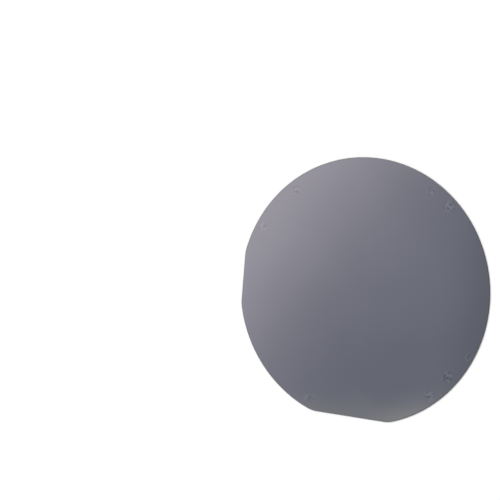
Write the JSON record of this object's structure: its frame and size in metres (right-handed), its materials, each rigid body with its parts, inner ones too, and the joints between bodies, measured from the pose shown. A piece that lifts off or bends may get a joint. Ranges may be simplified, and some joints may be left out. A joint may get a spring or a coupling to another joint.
{
  "type": "silicon wafer",
  "caption": "Thin round slice of silicon with a primary and a secondary flat, a polished front, an etched back and a ground edge bevelled to both faces.",
  "frame": {"origin": "centre of the round outline, on the back face", "axes": "+Z out of the polished face; -Y out of the primary flat, so +X runs along it; -X out of the secondary flat"},
  "size_m": [0.099, 0.0975, 0.0005],
  "materials": {
    "silicon": "polished"
  },
  "bodies": {
    "root": {"wafer": "silicon"}
  },
  "joints": []
}
